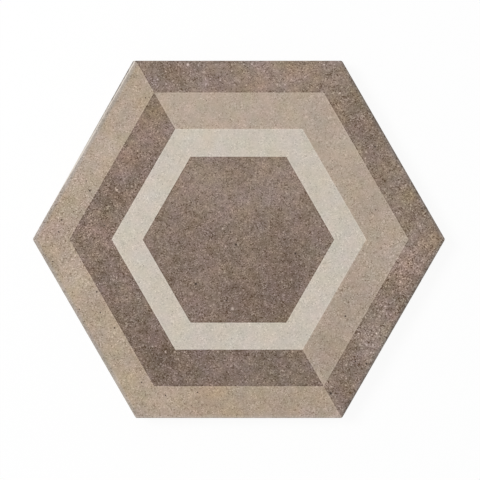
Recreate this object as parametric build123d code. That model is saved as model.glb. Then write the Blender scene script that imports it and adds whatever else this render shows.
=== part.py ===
from build123d import *

import math
import os

# A hexagonal stoneware tile, pressed and fired as one piece, lying on its back with the face up.
# The frame is in millimetres. The origin is the centre of the back, on the plane that the tile lies on.
# +Z points out of the decorated face, and +X runs from corner to corner of the hexagon.
# The sides have a vertical land that meets the grout joint. Above it the face ends in a small rounded arris,
# and below it the edge is cut back by a bevel. The back is keyed for the adhesive: hexagonal recesses with
# drafted walls lie between ribs, and a plain rim runs round them.

# The slab
ACROSS_FLATS = 182.0  # the format, measured over two opposite sides of the face
THICKNESS = 10.0  # from the foot of the ribs to the face
CORNER_RADIUS = 1.3  # the six corners, seen from above
ARRIS_RADIUS = 0.7  # the edge of the face
BEVEL_WIDTH = 1.0  # how far the foot is smaller than the face, on each side
BEVEL_HEIGHT = 2.2  # where the vertical land begins

# The keyed back
RIM_WIDTH = 7.0  # plain border round the recesses, at the foot
KEY_PITCH = 13.0  # from the middle of one recess to the middle of the next
RIB_WIDTH = 2.6  # between two recesses, at the foot
KEY_DEPTH = 0.9
KEY_DRAFT = 30.0  # degrees from the vertical, so that the tile leaves its punch
SMALLEST_KEY = 0.2  # less of a recess than this share, where the rim cuts it, stays solid

SIDES = 6
HALF_TURN_STEP = 180 / SIDES  # turns a hexagon from flat side up to corner up
FOOT_ACROSS = ACROSS_FLATS - 2 * BEVEL_WIDTH
KEYED_ACROSS = FOOT_ACROSS - 2 * RIM_WIDTH


def hexagon(across, turn=0.0):
    """A hexagon by its size over the flats, with a corner on +X unless it is turned."""
    return RegularPolygon(across / 2, SIDES, major_radius=False, rotation=turn)


def slab():
    """The pressed slab, with its rounded corners, its arris and its bevelled foot."""
    outline = hexagon(ACROSS_FLATS)
    outline = fillet(outline.vertices(), CORNER_RADIUS)
    body = extrude(outline, THICKNESS)
    body = fillet(body.faces().sort_by(Axis.Z)[-1].edges(), ARRIS_RADIUS)
    bevel = math.degrees(math.atan2(BEVEL_WIDTH, BEVEL_HEIGHT))
    return body & extrude(hexagon(FOOT_ACROSS), THICKNESS, taper=-bevel)


def key_places():
    """The middles of the recesses: rows along X, every other one shifted by half a pitch."""
    row_gap = KEY_PITCH * math.sin(math.radians(60))
    rows = math.ceil(KEYED_ACROSS / 2 / row_gap)
    columns = math.ceil(KEYED_ACROSS / math.sqrt(3) / KEY_PITCH)
    for row in range(-rows, rows + 1):
        shift = (row % 2) / 2
        for column in range(-columns - 1, columns + 1):
            yield Pos((column + shift) * KEY_PITCH, row * row_gap, 0)


def keys():
    """The recesses of the back as solids, each cut off where it would run into the rim."""
    keyed_area = extrude(hexagon(KEYED_ACROSS), KEY_DEPTH, taper=KEY_DRAFT)
    whole = extrude(hexagon(KEY_PITCH - RIB_WIDTH, HALF_TURN_STEP), KEY_DEPTH, taper=KEY_DRAFT)
    field = Compound([place * whole for place in key_places()])
    trimmed = (keyed_area & field).solids()
    return [key for key in trimmed if key.volume >= SMALLEST_KEY * whole.volume]


tile = slab() - keys()

os.makedirs("parts", exist_ok=True)
export_step(tile, "parts/tile.step")
print("tile", round(tile.volume), "mm3,", len(tile.faces()), "faces")
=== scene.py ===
"""Dresses a hexagonal stoneware tile: printed face, worn arris, pressed sides and keyed back.

The tile is one fired piece, so it is one closed mesh. Its face, its sides and its back are each built by a
class of their own and are joined along shared loops of points. All sizes are metres, in the frame of the
tile: the origin is the centre of the back, +Z points out of the face and +X runs from corner to corner.
"""
import logging
import math
from abc import ABC, abstractmethod
from dataclasses import dataclass, field
from enum import Enum
from typing import ClassVar, Mapping, Sequence, Union

import bpy
import numpy as np
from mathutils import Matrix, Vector, noise
from mathutils.geometry import delaunay_2d_cdt


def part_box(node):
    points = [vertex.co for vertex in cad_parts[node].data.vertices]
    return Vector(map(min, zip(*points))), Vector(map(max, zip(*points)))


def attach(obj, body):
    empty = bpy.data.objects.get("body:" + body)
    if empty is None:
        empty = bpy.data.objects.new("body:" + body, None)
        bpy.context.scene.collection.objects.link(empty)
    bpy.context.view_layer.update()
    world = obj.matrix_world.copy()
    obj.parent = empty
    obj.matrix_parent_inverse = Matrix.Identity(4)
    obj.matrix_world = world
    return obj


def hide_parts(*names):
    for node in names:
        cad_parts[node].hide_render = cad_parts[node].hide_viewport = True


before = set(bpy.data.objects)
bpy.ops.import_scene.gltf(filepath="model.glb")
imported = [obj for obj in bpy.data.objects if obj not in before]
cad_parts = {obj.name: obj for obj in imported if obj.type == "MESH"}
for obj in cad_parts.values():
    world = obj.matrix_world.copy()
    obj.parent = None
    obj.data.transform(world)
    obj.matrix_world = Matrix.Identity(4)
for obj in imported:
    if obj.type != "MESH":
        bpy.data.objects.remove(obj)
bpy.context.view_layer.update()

Socket = bpy.types.NodeSocket
Sockets = Mapping[str, Socket]
Feed = Union[float, tuple, Socket]
Points = np.ndarray

MM = 0.001
SIDES = 6
SEED = 1882


class Zone(Enum):
    """The parts of the surface that have a finish of their own. The value is the material slot."""

    CENTRE = 0
    CREAM = 1
    TAUPE = 2
    UMBER = 3
    SAND = 4
    BORDER = 5
    SIDE = 6
    BACK = 7


# Plan geometry


def direction(degrees: float) -> Points:
    """The unit vector in plan at that angle from +X."""
    return np.array([math.cos(math.radians(degrees)), math.sin(math.radians(degrees))])


FLAT_NORMALS = np.array([direction(30 + 60 * side) for side in range(SIDES)])
SPLIT_NORMAL = direction(30)
QUARTER_TURN = np.array([[0, 1], [-1, 0]])


def hexagon_reach(plan: Points) -> Points:
    """The apothem of the hexagon that passes through each point in plan."""
    return (plan @ FLAT_NORMALS.T).max(axis=1)


def rounded_hexagon(apothem: float, radius: float, per_side: int, per_corner: int) -> Points:
    """Points round a hexagon with rounded corners, anticlockwise from the middle of the corner on +X.

    Args:
        apothem: Half of the size over the flats.
        radius: Radius of the corners.
        per_side: Points on each straight side, between the corners.
        per_corner: Points on each corner, an odd number.

    Returns:
        An array of plan points, six times (per_side + per_corner) of them.
    """
    corners = []
    for corner in range(SIDES):
        centre = direction(60 * corner) * (apothem - radius) / math.cos(math.radians(30))
        turns = 60 * corner + np.linspace(-30, 30, per_corner)
        corners.append(centre + radius * np.array([direction(turn) for turn in turns]))
    loop = []
    steps = np.linspace(0, 1, per_side + 2)[1:-1, None]
    for corner in range(SIDES):
        start = corners[corner][-1]
        end = corners[(corner + 1) % SIDES][0]
        loop.extend([corners[corner], start + (end - start) * steps])
    return np.roll(np.concatenate(loop), -(per_corner // 2), axis=0)


def clip(polygon: Points, normal: Points, limit: float) -> Points:
    """Cuts a convex polygon off where it passes a line.

    Args:
        polygon: The corners, in order.
        normal: Unit vector across the line.
        limit: Distance of the line from the origin.

    Returns:
        The corners of what is left, in order. It is empty if nothing is left.
    """
    reach = polygon @ normal - limit
    if (reach <= 0).all():
        return polygon
    kept = []
    for index in range(len(polygon)):
        here, there = polygon[index - 1], polygon[index]
        before, after = reach[index - 1], reach[index]
        if before * after < 0:
            kept.append(here + (there - here) * before / (before - after))
        if after <= 0:
            kept.append(there)
    return np.array(kept).reshape(-1, 2)


def area(polygon: Points) -> float:
    """The area inside a polygon."""
    following = np.roll(polygon, -1, axis=0)
    return abs((polygon[:, 0] * following[:, 1] - polygon[:, 1] * following[:, 0]).sum()) / 2


def triangle_grid(reach: float, spacing: float) -> Points:
    """Plan points on a grid of equal triangles that covers a square of that half width.

    Args:
        reach: Half the width of the square.
        spacing: Side of a triangle.

    Returns:
        The points, row by row.
    """
    row_gap = spacing * math.sin(math.radians(60))
    rows = np.arange(-math.ceil(reach / row_gap), math.ceil(reach / row_gap) + 1)
    columns = np.arange(-math.ceil(reach / spacing) - 1, math.ceil(reach / spacing) + 1)
    row, column = np.meshgrid(rows, columns, indexing="ij")
    return np.stack([(column + (row % 2) / 2) * spacing, row * row_gap], axis=-1).reshape(-1, 2)


def wander(plan: Points, size: float, height: float = 0.0) -> Points:
    """A smooth random value from about -1 to 1 at each plan point, with features of that size."""
    return np.array([noise.noise(Vector((x / size, y / size, height))) for x, y in plan])


# Sizes


@dataclass(frozen=True)
class TileForm:
    """The sizes of the pressed and fired form."""

    apothem: float
    thickness: float
    corner_radius: float = 1.3 * MM
    arris_radius: float = 1.1 * MM
    bevel_width: float = 1.0 * MM
    bevel_height: float = 2.2 * MM
    foot_radius: float = 0.25 * MM
    flare: float = 1.3 * MM
    rim_width: float = 7.0 * MM
    key_pitch: float = 13.0 * MM
    rib_width: float = 2.6 * MM
    key_depth: float = 0.9 * MM
    key_corner_radius: float = 1.0 * MM
    smallest_key: float = 0.2
    per_side: int = 110
    per_corner: int = 7

    @classmethod
    def of_node(cls, node: str) -> "TileForm":
        """Takes the overall sizes from a node of the frame."""
        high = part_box(node)[1]
        return cls(apothem=high.y, thickness=high.z)

    def loop(self, inset: float) -> Points:
        """The outline in plan, set in from the upright sides."""
        radius = max(self.corner_radius - inset, 0.2 * MM)
        return rounded_hexagon(self.apothem - inset, radius, self.per_side, self.per_corner)


@dataclass(frozen=True)
class PrintPattern:
    """The nested hexagons of the print, by the apothem of each line."""

    centre: float = 42.2 * MM
    cream: float = 56.1 * MM
    middle: float = 74.7 * MM
    centre_shift: tuple[float, float] = (-0.26 * MM, -0.15 * MM)

    def zones(self, plan: Points) -> Points:
        """The slot of the printed zone at each plan point.

        Args:
            plan: The points in plan.

        Returns:
            The slot of the zone at each point.
        """
        reach = hexagon_reach(plan)
        upper = plan @ SPLIT_NORMAL > 0
        middle = np.where(upper, Zone.TAUPE.value, Zone.UMBER.value)
        outer = np.where(upper, Zone.BORDER.value, Zone.SAND.value)
        inner_reach = hexagon_reach(plan - self.centre_shift)
        inner = np.where(inner_reach < self.centre, Zone.CENTRE.value, Zone.CREAM.value)
        return np.where(reach < self.cream, inner, np.where(reach < self.middle, middle, outer))


@dataclass(frozen=True)
class Pit:
    """A pinhole in the face, left by a bubble in the firing."""

    x: float
    y: float
    radius: float
    depth: float

    @property
    def place(self) -> Points:
        """The middle of the pit in plan."""
        return np.array([self.x, self.y])


# Mesh parts


@dataclass
class PlanSheet:
    """Points and lines in plan that become one triangulated sheet. Its outline is added first."""

    plan: list = field(default_factory=list)
    height: list = field(default_factory=list)
    pit: list = field(default_factory=list)
    lines: list = field(default_factory=list)
    count: int = 0
    outline: range = range(0)
    whole_hull: ClassVar[int] = 0
    near: ClassVar[float] = 1e-5
    sliver: ClassVar[float] = 1e-4 * MM

    def add(self, plan: Points, height: Union[float, Points], pit: float = 0.0) -> range:
        """Adds loose points.

        Args:
            plan: The points in plan.
            height: Their height, one for all or one for each.
            pit: How deep in a pit they lie, from 0 to 1.

        Returns:
            The numbers of the new points.
        """
        self.plan.append(plan)
        self.height.append(np.broadcast_to(height, len(plan)))
        self.pit.append(np.full(len(plan), pit))
        self.count += len(plan)
        return range(self.count - len(plan), self.count)

    def add_loop(self, plan: Points, height: Union[float, Points], pit: float = 0.0) -> range:
        """Adds points and the closed line through them, and returns their numbers.

        Args:
            plan: The points in plan.
            height: Their height, one for all or one for each.
            pit: How deep in a pit they lie, from 0 to 1.

        Returns:
            The numbers of the new points.
        """
        numbers = self.add(plan, height, pit)
        self.lines.extend(zip(numbers, [*numbers[1:], numbers[0]]))
        return numbers
    def add_outline(self, plan: Points) -> None:
        """Adds the outline of the sheet."""
        self.outline = self.add_loop(plan, 0.0)

    def add_path(self, first: int, plan: Points, last: int) -> None:
        """Adds the points of an open line, flat on the sheet, between two points that are there already."""
        numbers = [first, *self.add(plan, 0.0), last]
        self.lines.extend(zip(numbers[:-1], numbers[1:]))

    def triangulate(self) -> tuple[Points, Points, Points, Points]:
        """Joins the points into triangles that keep every line.

        The points of a straight side are not quite in line, because their places are rounded. The slivers
        that fill the gaps between them and the hull are left out.

        Returns:
            The vertices, how deep in a pit each lies, the triangles, and the vertices along the outline.
        """
        flat = np.concatenate(self.plan)
        points = [Vector(point) for point in flat / MM]
        _, _, faces, origins, _, _ = delaunay_2d_cdt(
            points, self.lines, [], self.whole_hull, self.near, True)
        source = np.array([origin[0] for origin in origins])
        vertex_of = np.zeros(len(flat), int)
        for vertex, origin in enumerate(origins):
            vertex_of[origin] = vertex
        vertices = np.column_stack([flat[source], np.concatenate(self.height)[source]])
        triangles = np.array(faces)
        edge = list(self.outline)
        middle_reach = hexagon_reach(flat[source][triangles].mean(axis=1))
        triangles = triangles[middle_reach < hexagon_reach(flat[edge]).max() - self.sliver]
        return vertices, np.concatenate(self.pit)[source], triangles, vertex_of[edge]


@dataclass
class MeshPart:
    """One part of the tile's skin: its own vertices, and triangles with their slot and map places."""

    vertices: Points
    pit: Points
    triangles: Points
    slots: Points
    places: Points


@dataclass
class PrintedFace:
    """The decorated face: lines of the print, pits and a fine relief, as one sheet.

    Each ring of a pit has its radius and its drop as shares of the pit's own, and how far it counts as pit.
    """

    form: TileForm
    pattern: PrintPattern
    pits: Sequence[Pit]
    spacing: float = 0.86 * MM
    jitter: float = 0.22
    line_gap: float = 0.5
    pit_gap: float = 0.35
    split_corners: tuple[int, int] = (2, 5)
    ripple: float = 0.03 * MM
    ripple_size: float = 24 * MM
    tooth: float = 0.012 * MM
    tooth_size: float = 1.7 * MM
    tooth_layer: float = 3.0
    grit: float = 0.004 * MM
    fade_width: float = 2 * MM
    rings: Sequence[tuple[float, float, float]] = (
        (1.3, 0.0, 0.0),
        (1.0, -0.12, 0.35),
        (0.72, -0.7, 1.0),
        (0.36, -1.0, 1.0),
    )
    per_ring: int = 9

    def relief(self, plan: Points, rng: np.random.Generator) -> Points:
        """The height of the surface above the flat face, fading out towards the arris.

        Args:
            plan: The points in plan.
            rng: The source of all chance.

        Returns:
            The height at each point.
        """
        inside = self.form.apothem - self.form.arris_radius - hexagon_reach(plan)
        fade = np.clip(inside / self.fade_width, 0, 1)
        wave = self.ripple * wander(plan, self.ripple_size)
        tooth = self.tooth * wander(plan, self.tooth_size, self.tooth_layer)
        grit = self.grit * rng.standard_normal(len(plan))
        return fade * (wave + tooth + grit)

    def hexagon_line(self, apothem: float) -> tuple[Points, int]:
        """The points along one hexagon of the print, and how many of them each side has.

        Args:
            apothem: The apothem of the hexagon.

        Returns:
            The points, and how many of them each side has.
        """
        side = 2 * apothem * math.tan(math.radians(30))
        corners = np.array([direction(60 * corner) for corner in range(SIDES)]) * side
        steps = round(side / self.spacing)
        share = np.linspace(0, 1, steps, endpoint=False)[:, None]
        following = np.roll(corners, -1, axis=0)
        return np.concatenate([a + (b - a) * share for a, b in zip(corners, following)]), steps

    def add_lines(self, sheet: PlanSheet) -> None:
        """Adds the lines of the print: three hexagons, and the diagonal where the shades change places.

        Args:
            sheet: The sheet that they go to, with its outline in it.
        """
        centre, _ = self.hexagon_line(self.pattern.centre)
        sheet.add_loop(centre + self.pattern.centre_shift, 0.0)
        corners = []
        for apothem in (self.pattern.cream, self.pattern.middle):
            plan, steps = self.hexagon_line(apothem)
            corners.append(sheet.add_loop(plan, 0.0)[::steps])
        corners.append(sheet.outline[::len(sheet.outline) // SIDES])
        for corner in self.split_corners:
            stops = [loop[corner] for loop in corners]
            all_points = np.concatenate(sheet.plan)
            for first, last in zip(stops[:-1], stops[1:]):
                start, end = all_points[first], all_points[last]
                steps = round(np.linalg.norm(end - start) / self.spacing)
                share = np.linspace(0, 1, steps + 1)[1:-1, None]
                sheet.add_path(first, start + (end - start) * share, last)

    def add_pits(self, sheet: PlanSheet) -> None:
        """Adds each pit as rings of points that step down to its floor.

        Args:
            sheet: The sheet that they go to.
        """
        turns = np.arange(self.per_ring) * 360 / self.per_ring
        ring = np.array([direction(turn) for turn in turns])
        for pit in self.pits:
            for reach, drop, share in self.rings:
                sheet.add(pit.place + ring * reach * pit.radius, drop * pit.depth, share)
            sheet.add(pit.place[None, :], -pit.depth, 1.0)

    def scatter(self, rng: np.random.Generator) -> Points:
        """Loose points over the face, clear of the lines of the print, the pits and the outline.

        Args:
            rng: The source of all chance.

        Returns:
            The points in plan.
        """
        plan = triangle_grid(self.form.apothem / math.cos(math.radians(30)), self.spacing)
        plan = plan + rng.uniform(-self.jitter, self.jitter, plan.shape) * self.spacing
        reach = hexagon_reach(plan)
        clear = self.line_gap * self.spacing
        kept = reach < self.form.apothem - self.form.arris_radius - clear
        kept &= abs(hexagon_reach(plan - self.pattern.centre_shift) - self.pattern.centre) > clear
        for line in (self.pattern.cream, self.pattern.middle):
            kept &= abs(reach - line) > clear
        kept &= (abs(plan @ SPLIT_NORMAL) > clear) | (reach < self.pattern.cream)
        for pit in self.pits:
            away = np.linalg.norm(plan - pit.place, axis=1)
            kept &= away > pit.radius * self.rings[0][0] + self.pit_gap * self.spacing
        return plan[kept]

    def build(self, rng: np.random.Generator, scale: float) -> tuple[MeshPart, Points]:
        """Builds the sheet.

        Args:
            rng: The source of all chance.
            scale: Map units for each metre.

        Returns:
            The part, and its vertices along the outline.
        """
        sheet = PlanSheet()
        sheet.add_outline(self.form.loop(self.form.arris_radius))
        self.add_lines(sheet)
        self.add_pits(sheet)
        sheet.add(self.scatter(rng), 0.0)
        vertices, pit, triangles, edge = sheet.triangulate()
        vertices[:, 2] += self.form.thickness + self.relief(vertices[:, :2], rng)
        zones = self.pattern.zones(vertices[triangles].mean(axis=1)[:, :2])
        places = vertices[triangles][:, :, :2] * scale
        return MeshPart(vertices, pit, triangles, zones, places), edge


@dataclass
class KeyedBack:
    """The back: a plain rim and ribs, with drafted hexagonal recesses pressed in between.

    The lip and the wall of a recess are loops, by their inset from the mouth and their height in millimetres.
    """

    form: TileForm
    spacing: float = 2.4 * MM
    jitter: float = 0.2
    grid_reach: float = 1.2
    edge_gap: float = 0.4
    unevenness: float = 0.02 * MM
    uneven_size: float = 3 * MM
    uneven_layer: float = 7.0
    fade_width: float = 2 * MM
    lip_and_wall: Sequence[tuple[float, float]] = (
        (-0.22, 0.0),
        (-0.02, 0.07),
        (0.34, 0.66),
        (0.45, 0.84),
        (0.7, 0.9),
    )
    per_side: int = 1
    per_corner: int = 3

    def keyed_apothem(self, inset: float) -> float:
        """Half the size over the flats of the area that the recesses fill, at that inset of their walls."""
        return self.form.apothem - self.form.bevel_width - self.form.rim_width - inset

    def mouth(self, centre: Points, inset: float) -> Points:
        """The outline of a recess in plan, set in from its mouth and cut off where it would meet the rim.

        Args:
            centre: The middle of the recess.
            inset: How far the outline is set in.

        Returns:
            The corners, in order. They are fewer than three where nothing is left.
        """
        apothem = (self.form.key_pitch - self.form.rib_width) / 2 - inset
        outline = rounded_hexagon(apothem, self.form.key_corner_radius, self.per_side, self.per_corner)
        outline = outline @ QUARTER_TURN + centre
        for normal in FLAT_NORMALS:
            outline = clip(outline, normal, self.keyed_apothem(inset))
            if len(outline) < 3:
                break
        return outline

    def centres(self) -> list[Points]:
        """The middles of the recesses that are large enough to be kept.

        Returns:
            The middles in plan.
        """
        whole = area(self.mouth(np.zeros(2), 0.0))
        grid = triangle_grid(self.form.apothem * self.grid_reach, self.form.key_pitch)
        return [spot for spot in grid if self.is_kept(spot, whole)]

    def is_kept(self, spot: Points, whole: float) -> bool:
        """Whether enough of a recess is left inside the rim."""
        outline = self.mouth(spot, 0.0)
        return len(outline) > 2 and area(outline) >= self.form.smallest_key * whole

    def build(self, outline: Points, rng: np.random.Generator, scale: float) -> tuple[MeshPart, Points]:
        """Builds the sheet, facing down.

        Args:
            outline: The foot of the sides, in plan.
            rng: The source of all chance.
            scale: Map units for each metre.

        Returns:
            The part, and its vertices along the outline.
        """
        foot_apothem = self.form.apothem - self.form.bevel_width
        sheet = PlanSheet()
        sheet.add_outline(outline)
        grid = triangle_grid(self.form.apothem * self.grid_reach, self.spacing)
        grid = grid + rng.uniform(-self.jitter, self.jitter, grid.shape) * self.spacing
        free = hexagon_reach(grid) < foot_apothem - self.form.foot_radius - self.edge_gap * self.spacing
        for centre in self.centres():
            free &= np.linalg.norm(grid - centre, axis=1) >= self.form.key_pitch / 2
            for inset, height in self.lip_and_wall:
                sheet.add_loop(self.mouth(centre, inset * MM), height * MM)
        sheet.add(grid[free], 0.0)
        vertices, pit, triangles, edge = sheet.triangulate()
        rough = self.unevenness * wander(vertices[:, :2], self.uneven_size, self.uneven_layer)
        away = foot_apothem - hexagon_reach(vertices[:, :2])
        vertices[:, 2] += abs(rough) * np.clip(away / self.fade_width, 0, 1)
        triangles = triangles[:, ::-1]
        zones = np.full(len(triangles), Zone.BACK.value)
        return MeshPart(vertices, pit, triangles, zones, vertices[triangles][:, :, :2] * scale), edge


@dataclass
class PressedSide:
    """The sides: the arris under the face, the upright land, the bevel and the foot."""

    form: TileForm
    arris_steps: int = 6
    land_steps: int = 6
    bevel_middle: tuple[float, float] = (0.55, 0.45)
    foot_rise: float = 0.9
    flared_side: int = 2
    flared_depth: float = 0.3 * MM
    flare_power: float = 1.5
    roughness: float = 0.02 * MM
    rough_size: float = 1.6 * MM
    rough_layers: float = 400.0
    grit: float = 0.3

    def profile(self) -> list[tuple[float, float]]:
        """The section through a side, from the face to the back, as pairs of inset and height.

        Returns:
            The points, the first on the face's outline and the last on the back's.
        """
        form = self.form
        points = []
        for turn in np.linspace(0, math.pi / 2, self.arris_steps + 1):
            inset = form.arris_radius * (1 - math.sin(turn))
            points.append((inset, form.thickness - form.arris_radius * (1 - math.cos(turn))))
        heights = np.linspace(points[-1][1], form.bevel_height, self.land_steps + 1)[1:]
        points.extend((0.0, height) for height in heights)
        points.append((form.bevel_width * self.bevel_middle[0], form.bevel_height * self.bevel_middle[1]))
        points.append((form.bevel_width, form.foot_radius * self.foot_rise))
        points.append((form.bevel_width + form.foot_radius, 0.0))
        return points

    def foot(self) -> Points:
        """The last loop of the section in plan, which the back starts from."""
        return self.form.loop(self.profile()[-1][0])

    def lean(self, plan: Points, inset: float) -> Points:
        """How far the upper left side stands out past the print, most of all at its upper corner.

        Args:
            plan: The points in plan.
            inset: How far the loop of points is set in.

        Returns:
            The distance towards -X at each point.
        """
        on_side = plan @ FLAT_NORMALS[self.flared_side] > hexagon_reach(plan) - self.flared_depth
        along = np.clip(plan[:, 1] / self.form.apothem, 0, 1)
        share = max(0.0, 1 - inset / self.form.arris_radius) ** self.flare_power
        return np.where(on_side, along * share * self.form.flare, 0.0)

    def rows(self, rng: np.random.Generator) -> Points:
        """The vertices between the face and the back, as rows of loops.

        Args:
            rng: The source of all chance.

        Returns:
            The rows, each of as many vertices as the outlines have.
        """
        rows = []
        for inset, height in self.profile()[1:-1]:
            plan = self.form.loop(inset)
            plan[:, 0] -= self.lean(plan, inset)
            outward = plan / np.linalg.norm(plan, axis=1)[:, None]
            bump = self.roughness * wander(plan, self.rough_size, height * self.rough_layers)
            bump = bump + self.roughness * self.grit * rng.standard_normal(len(plan))
            plan = plan - outward * abs(bump)[:, None]
            rows.append(np.column_stack([plan, np.full(len(plan), height)]))
        return np.array(rows)


# The tile


@dataclass
class TileMesh:
    """The closed mesh of the tile, put together from its face, sides and back."""

    form: TileForm
    pattern: PrintPattern
    face: PrintedFace
    side: PressedSide
    back: KeyedBack
    printed_arris_rows: int = 6
    print_inset: float = 1.5

    map_size: float = 1024.0
    map_gap: float = 5.0
    map_seam: float = 13.0
    face_pixels_per_mm: float = 4.17
    back_pixels_per_mm: float = 2.3
    side_pixels_per_mm: float = 3.3
    strip_mm: tuple[float, float] = (12.5, 106.0)
    strip_columns: int = 3

    def side_part(self, rows: Points, top: Points, bottom: Points, first: int) -> MeshPart:
        """Joins the rows of the sides with the outlines of the face and the back.

        Args:
            rows: Vertices between the two outlines, row by row.
            top: Vertex numbers of the face's outline.
            bottom: Vertex numbers of the back's outline.
            first: Number of the first vertex of the rows.

        Returns:
            The part. Its triangles count in the numbers of the whole mesh.
        """
        around = len(top)
        numbers = first + np.arange(rows.shape[0] * around).reshape(rows.shape[0], around)
        numbers = np.vstack([top, numbers, bottom])
        section = np.array(self.side.profile())
        along = np.concatenate([[0], np.cumsum(np.linalg.norm(np.diff(section, axis=0), axis=1))])
        per_strip = around // SIDES
        unit = self.side_pixels_per_mm / MM / self.map_size
        step = 2 * self.form.apothem * math.tan(math.radians(30)) / per_strip
        middle_plan = self.form.loop(self.form.arris_radius * self.print_inset)
        zones = self.pattern.zones((middle_plan + np.roll(middle_plan, -1, axis=0)) / 2)
        triangles, slots, places = [], [], []
        for row in range(len(numbers) - 1):
            for column in range(around):
                after = (column + 1) % around
                a, b = numbers[row, column], numbers[row, after]
                c, d = numbers[row + 1, after], numbers[row + 1, column]
                strip, local = divmod(column, per_strip)
                u0, v0 = self.strip_origin(strip)
                low, high = v0 + local * step * unit, v0 + (local + 1) * step * unit
                near, far = u0 + along[row] * unit, u0 + along[row + 1] * unit
                pa, pb, pc, pd = (near, low), (near, high), (far, high), (far, low)
                triangles.extend([(a, d, c), (a, c, b)])
                places.extend([(pa, pd, pc), (pa, pc, pb)])
                slot = zones[column] if row < self.printed_arris_rows else Zone.SIDE.value
                slots.extend([slot, slot])
        return MeshPart(rows.reshape(-1, 3), np.zeros(rows.shape[0] * around), np.array(triangles),
                        np.array(slots), np.array(places))

    def strip_origin(self, strip: int) -> tuple[float, float]:
        """The lower left corner of one side's strip in the map: three columns of two, right of the face.

        Args:
            strip: Number of the side.

        Returns:
            Its place in the map.
        """
        level, column = divmod(strip, self.strip_columns)
        face_width = 4 / math.sqrt(3) * self.form.apothem / MM * self.face_pixels_per_mm
        width, length = (size * self.side_pixels_per_mm for size in self.strip_mm)
        u = (2 * self.map_gap + face_width + column * width) / self.map_size
        v = 1 - (self.map_gap + length) * (level + 1) / self.map_size
        return u, v

    def build(self) -> bpy.types.Object:
        """Builds the mesh with its slots, its map and the attribute that says where the pits are.

        Returns:
            The tile's object.
        """
        rng = np.random.default_rng(SEED)
        face_unit = self.face_pixels_per_mm / MM / self.map_size
        back_unit = self.back_pixels_per_mm / MM / self.map_size
        face, face_edge = self.face.build(rng, face_unit)
        back, back_edge = self.back.build(self.side.foot(), rng, back_unit)
        rows = self.side.rows(rng)
        face_count, back_count = len(face.vertices), len(back.vertices)
        side = self.side_part(rows, face_edge, back_edge + face_count, face_count + back_count)
        self.place_face(face)
        self.place_back(back)
        back.triangles = back.triangles + face_count
        return self.to_object([face, back, side])

    def place_face(self, face: MeshPart) -> None:
        """Moves the face to the upper left of the map.

        Args:
            face: The face, with its places in the scale of the map.
        """
        half_width = 2 / math.sqrt(3) * self.form.apothem / MM * self.face_pixels_per_mm
        half_height = self.form.apothem / MM * self.face_pixels_per_mm
        middle = np.array([self.map_gap + half_width, self.map_size - self.map_gap - half_height])
        face.places = face.places + middle / self.map_size

    def place_back(self, back: MeshPart) -> None:
        """Moves the back's two halves, each turned by a quarter, side by side to the foot of the map.

        The middle of the back comes so far up that the triangles that lie across it stay in the map.

        Args:
            back: The back, with its places in the scale of the map.
        """
        across, up = back.places[:, :, 0], back.places[:, :, 1]
        left = across.mean(axis=1, keepdims=True) < 0
        half = self.form.apothem / MM * self.back_pixels_per_mm / self.map_size
        gap = self.map_gap / self.map_size
        u = np.where(left, gap + half - up, 2 * gap + 3 * half + up)
        v = self.map_seam / self.map_size + np.where(left, -across, across)
        back.places = np.stack([u, v], axis=-1)

    def to_object(self, parts: Sequence[MeshPart]) -> bpy.types.Object:
        """Writes the parts into one mesh object.

        Args:
            parts: The parts, whose triangles count in the numbers of the whole mesh.

        Returns:
            The new object, linked to the scene.
        """
        vertices = np.concatenate([part.vertices for part in parts])
        triangles = np.concatenate([part.triangles for part in parts])
        slots = np.concatenate([part.slots for part in parts]).astype(np.int32)
        places = np.concatenate([part.places for part in parts]).astype(np.float32)
        depths = np.concatenate([part.pit for part in parts]).astype(np.float32)
        mesh = bpy.data.meshes.new("tile_skin")
        mesh.from_pydata(vertices.tolist(), [], triangles.tolist())
        mesh.polygons.foreach_set("material_index", slots)
        mesh.polygons.foreach_set("use_smooth", np.ones(len(triangles), bool))
        mesh.uv_layers.new(name="OFBake").data.foreach_set("uv", places.ravel())
        mesh.attributes.new("pit", "FLOAT", "POINT").data.foreach_set("value", depths)
        mesh.validate()
        mesh.update()
        tile = bpy.data.objects.new("printed_tile", mesh)
        bpy.context.scene.collection.objects.link(tile)
        return tile


# Shader effects


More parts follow.
